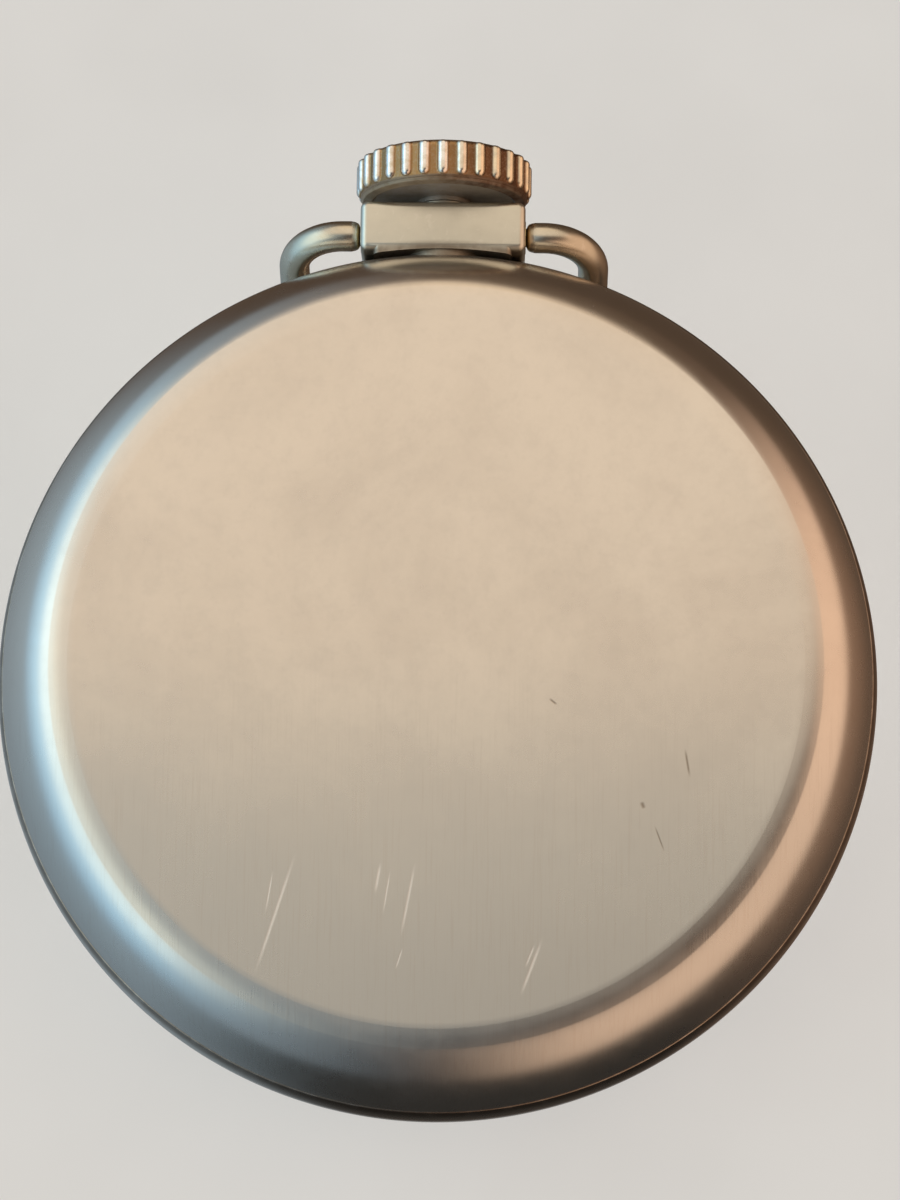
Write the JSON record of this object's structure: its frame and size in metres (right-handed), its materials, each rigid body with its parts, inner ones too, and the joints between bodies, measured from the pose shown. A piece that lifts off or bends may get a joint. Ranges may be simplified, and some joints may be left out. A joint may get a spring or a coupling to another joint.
{
  "type": "open face pocket watch",
  "caption": "Open face pocket watch with a plain satin back, fluted crown, round wire bow and a complete lever movement inside.",
  "frame": {"origin": "on the centre arbor's axis, in the plane of the winding stem's axis", "axes": "+Z to 12 o'clock along the stem, -Y out of the dial, +Y out of the back, +X to 3 o'clock"},
  "size_m": [0.051, 0.0204, 0.057],
  "materials": {
    "case_steel": "satin nickel alloy, hairline scratches",
    "bow_steel": "worn satin",
    "crown_steel": "fluted, worn, grime in the flutes",
    "bush_brass": "worn",
    "crystal_glass": "polished",
    "dial_enamel": "gloss enamel",
    "blued_steel": "heat blued, polished",
    "plate_nickel": "striped nickel",
    "gilt_brass": "gilt",
    "wheel_brass": "circular grained",
    "polished_steel": "polished",
    "spring_steel": "drawn strip",
    "ruby": "polished synthetic ruby"
  },
  "bodies": {
    "case": {"case_center": "case_steel", "pendant": "case_steel", "pendant_sleeve": "polished_steel", "bow_bushes": "bush_brass", "case_screws": "blued_steel", "dial": "dial_enamel", "dial_foot_screws": "blued_steel", "clutch_spring": "blued_steel", "main_plate": "plate_nickel", "barrel_bridge": "plate_nickel", "train_bridge": "plate_nickel", "balance_cock": "plate_nickel", "pallet_bridge": "plate_nickel", "click_spring": "blued_steel", "jewels": "ruby", "plate_screws": "blued_steel", "endstone": "ruby", "hairspring": "blued_steel", "bezel": "case_steel", "crystal": "crystal_glass"},
    "bow": {"bow": "bow_steel"},
    "winding": {"winding_pinion": "polished_steel"},
    "crown_and_stem": {"crown": "crown_steel", "stem": "polished_steel"},
    "clutch": {"sliding_clutch": "polished_steel"},
    "setting_lever": {"setting_lever": "polished_steel"},
    "clutch_lever": {"clutch_lever": "polished_steel"},
    "crown_wheels": {"crown_wheel": "polished_steel", "crown_wheel_screw": "blued_steel", "winding_wheel": "polished_steel"},
    "ratchet": {"ratchet_wheel": "polished_steel", "ratchet_screw": "blued_steel", "barrel_arbor": "polished_steel"},
    "barrel": {"barrel": "gilt_brass", "barrel_cover": "gilt_brass", "mainspring": "spring_steel"},
    "center": {"center_wheel": "wheel_brass", "center_arbor": "polished_steel", "cannon_pinion": "polished_steel", "minute_hand": "blued_steel"},
    "hour": {"hour_wheel": "wheel_brass", "hour_hand": "blued_steel"},
    "minute_wheel": {"minute_wheel": "wheel_brass"},
    "setting_wheel": {"setting_wheel": "polished_steel"},
    "third": {"third_wheel": "wheel_brass", "third_arbor": "polished_steel"},
    "fourth": {"fourth_wheel": "wheel_brass", "fourth_arbor": "polished_steel", "seconds_hand": "blued_steel"},
    "escape": {"escape_wheel": "wheel_brass", "escape_arbor": "polished_steel"},
    "pallet": {"pallet_fork": "polished_steel", "pallet_stones": "ruby"},
    "balance": {"balance_wheel": "gilt_brass", "balance_screws": "gilt_brass", "balance_staff": "polished_steel", "roller": "polished_steel"},
    "regulator": {"regulator": "polished_steel"},
    "click": {"click": "polished_steel"},
    "back": {"back_cover": "case_steel"}
  },
  "joints": [
    {"name": "bow_swing", "type": "hinge", "parent": "case", "child": "bow", "pos_m": [0, 0, 0.02655], "axis": [-1, 0, 0], "range_deg": [0, 224]},
    {"name": "crown_turn", "type": "hinge", "parent": "case", "child": "winding", "pos_m": [0, 0, 0], "axis": [0, 0, 1], "continuous": true},
    {"name": "crown_pull", "type": "slide", "parent": "winding", "child": "crown_and_stem", "axis": [0, 0, 1], "range_m": [0, 0.001]},
    {"name": "clutch_slide", "type": "slide", "parent": "winding", "child": "clutch", "axis": [0, 0, 1], "range_m": [-0.0006, 0]},
    {"name": "setting_lever_turn", "type": "hinge", "parent": "case", "child": "setting_lever", "pos_m": [-0.003, 0, 0.01915], "axis": [0, -1, 0], "range_deg": [0, 20]},
    {"name": "clutch_lever_turn", "type": "hinge", "parent": "case", "child": "clutch_lever", "pos_m": [0.0042, 0, 0.0172], "axis": [0, -1, 0], "range_deg": [0, 9]},
    {"name": "crown_wheel_turn", "type": "hinge", "parent": "case", "child": "crown_wheels", "pos_m": [0, 0, 0.0146], "axis": [0, 1, 0], "continuous": true},
    {"name": "ratchet_turn", "type": "hinge", "parent": "case", "child": "ratchet", "pos_m": [0.00604, 0, 0.00668], "axis": [0, 1, 0], "continuous": true},
    {"name": "center_turn", "type": "hinge", "parent": "case", "child": "center", "pos_m": [0, 0, 0], "axis": [0, 1, 0], "continuous": true},
    {"name": "barrel_turn", "type": "hinge", "parent": "case", "child": "barrel", "pos_m": [0.00604, 0, 0.00668], "axis": [0, 1, 0], "continuous": true},
    {"name": "third_turn", "type": "hinge", "parent": "case", "child": "third", "pos_m": [-0.00435, 0, -0.00574], "axis": [0, 1, 0], "continuous": true},
    {"name": "fourth_turn", "type": "hinge", "parent": "case", "child": "fourth", "pos_m": [0, 0, -0.0098], "axis": [0, 1, 0], "continuous": true},
    {"name": "escape_turn", "type": "hinge", "parent": "case", "child": "escape", "pos_m": [0.00264, 0, -0.01437], "axis": [0, 1, 0], "continuous": true},
    {"name": "hour_turn", "type": "hinge", "parent": "case", "child": "hour", "pos_m": [0, 0, 0], "axis": [0, 1, 0], "continuous": true},
    {"name": "minute_wheel_turn", "type": "hinge", "parent": "case", "child": "minute_wheel", "pos_m": [-0.00395, 0, 0.00452], "axis": [0, 1, 0], "continuous": true},
    {"name": "setting_wheel_turn", "type": "hinge", "parent": "case", "child": "setting_wheel", "pos_m": [0, 0, 0.0106], "axis": [0, 1, 0], "continuous": true},
    {"name": "pallet_rock", "type": "hinge", "parent": "case", "child": "pallet", "pos_m": [0.00534, 0, -0.01121], "axis": [0, 1, 0], "range_deg": [-4, 4]},
    {"name": "balance_swing", "type": "hinge", "parent": "case", "child": "balance", "pos_m": [0.00934, 0, -0.00654], "axis": [0, 1, 0], "range_deg": [-270, 270]},
    {"name": "regulator_turn", "type": "hinge", "parent": "case", "child": "regulator", "pos_m": [0.00934, 0, -0.00654], "axis": [0, 1, 0], "range_deg": [-20, 20]},
    {"name": "click_lift", "type": "hinge", "parent": "case", "child": "click", "pos_m": [0.0136, 0, 0.00913], "axis": [0, 1, 0], "range_deg": [0, 12]},
    {"name": "back_open", "type": "hinge", "parent": "case", "child": "back", "pos_m": [0, 0.00116, -0.02515], "axis": [-1, 0, 0], "range_deg": [0, 95]}
  ],
  "couplings": [
    {"joint": "clutch_slide", "follows": "crown_pull", "ratio": -0.6},
    {"joint": "setting_lever_turn", "follows": "crown_pull", "rad_per_m": 330},
    {"joint": "clutch_lever_turn", "follows": "crown_pull", "rad_per_m": 142.9},
    {"joint": "crown_wheel_turn", "follows": "crown_turn", "ratio": -0.58333},
    {"joint": "ratchet_turn", "follows": "crown_turn", "ratio": 0.36601},
    {"joint": "barrel_turn", "follows": "center_turn", "ratio": -0.15385},
    {"joint": "third_turn", "follows": "center_turn", "ratio": -8},
    {"joint": "fourth_turn", "follows": "center_turn", "ratio": 60},
    {"joint": "escape_turn", "follows": "center_turn", "ratio": -600},
    {"joint": "minute_wheel_turn", "follows": "center_turn", "ratio": -0.33333},
    {"joint": "hour_turn", "follows": "center_turn", "ratio": 0.083333},
    {"joint": "setting_wheel_turn", "follows": "center_turn", "ratio": 0.54545}
  ]
}
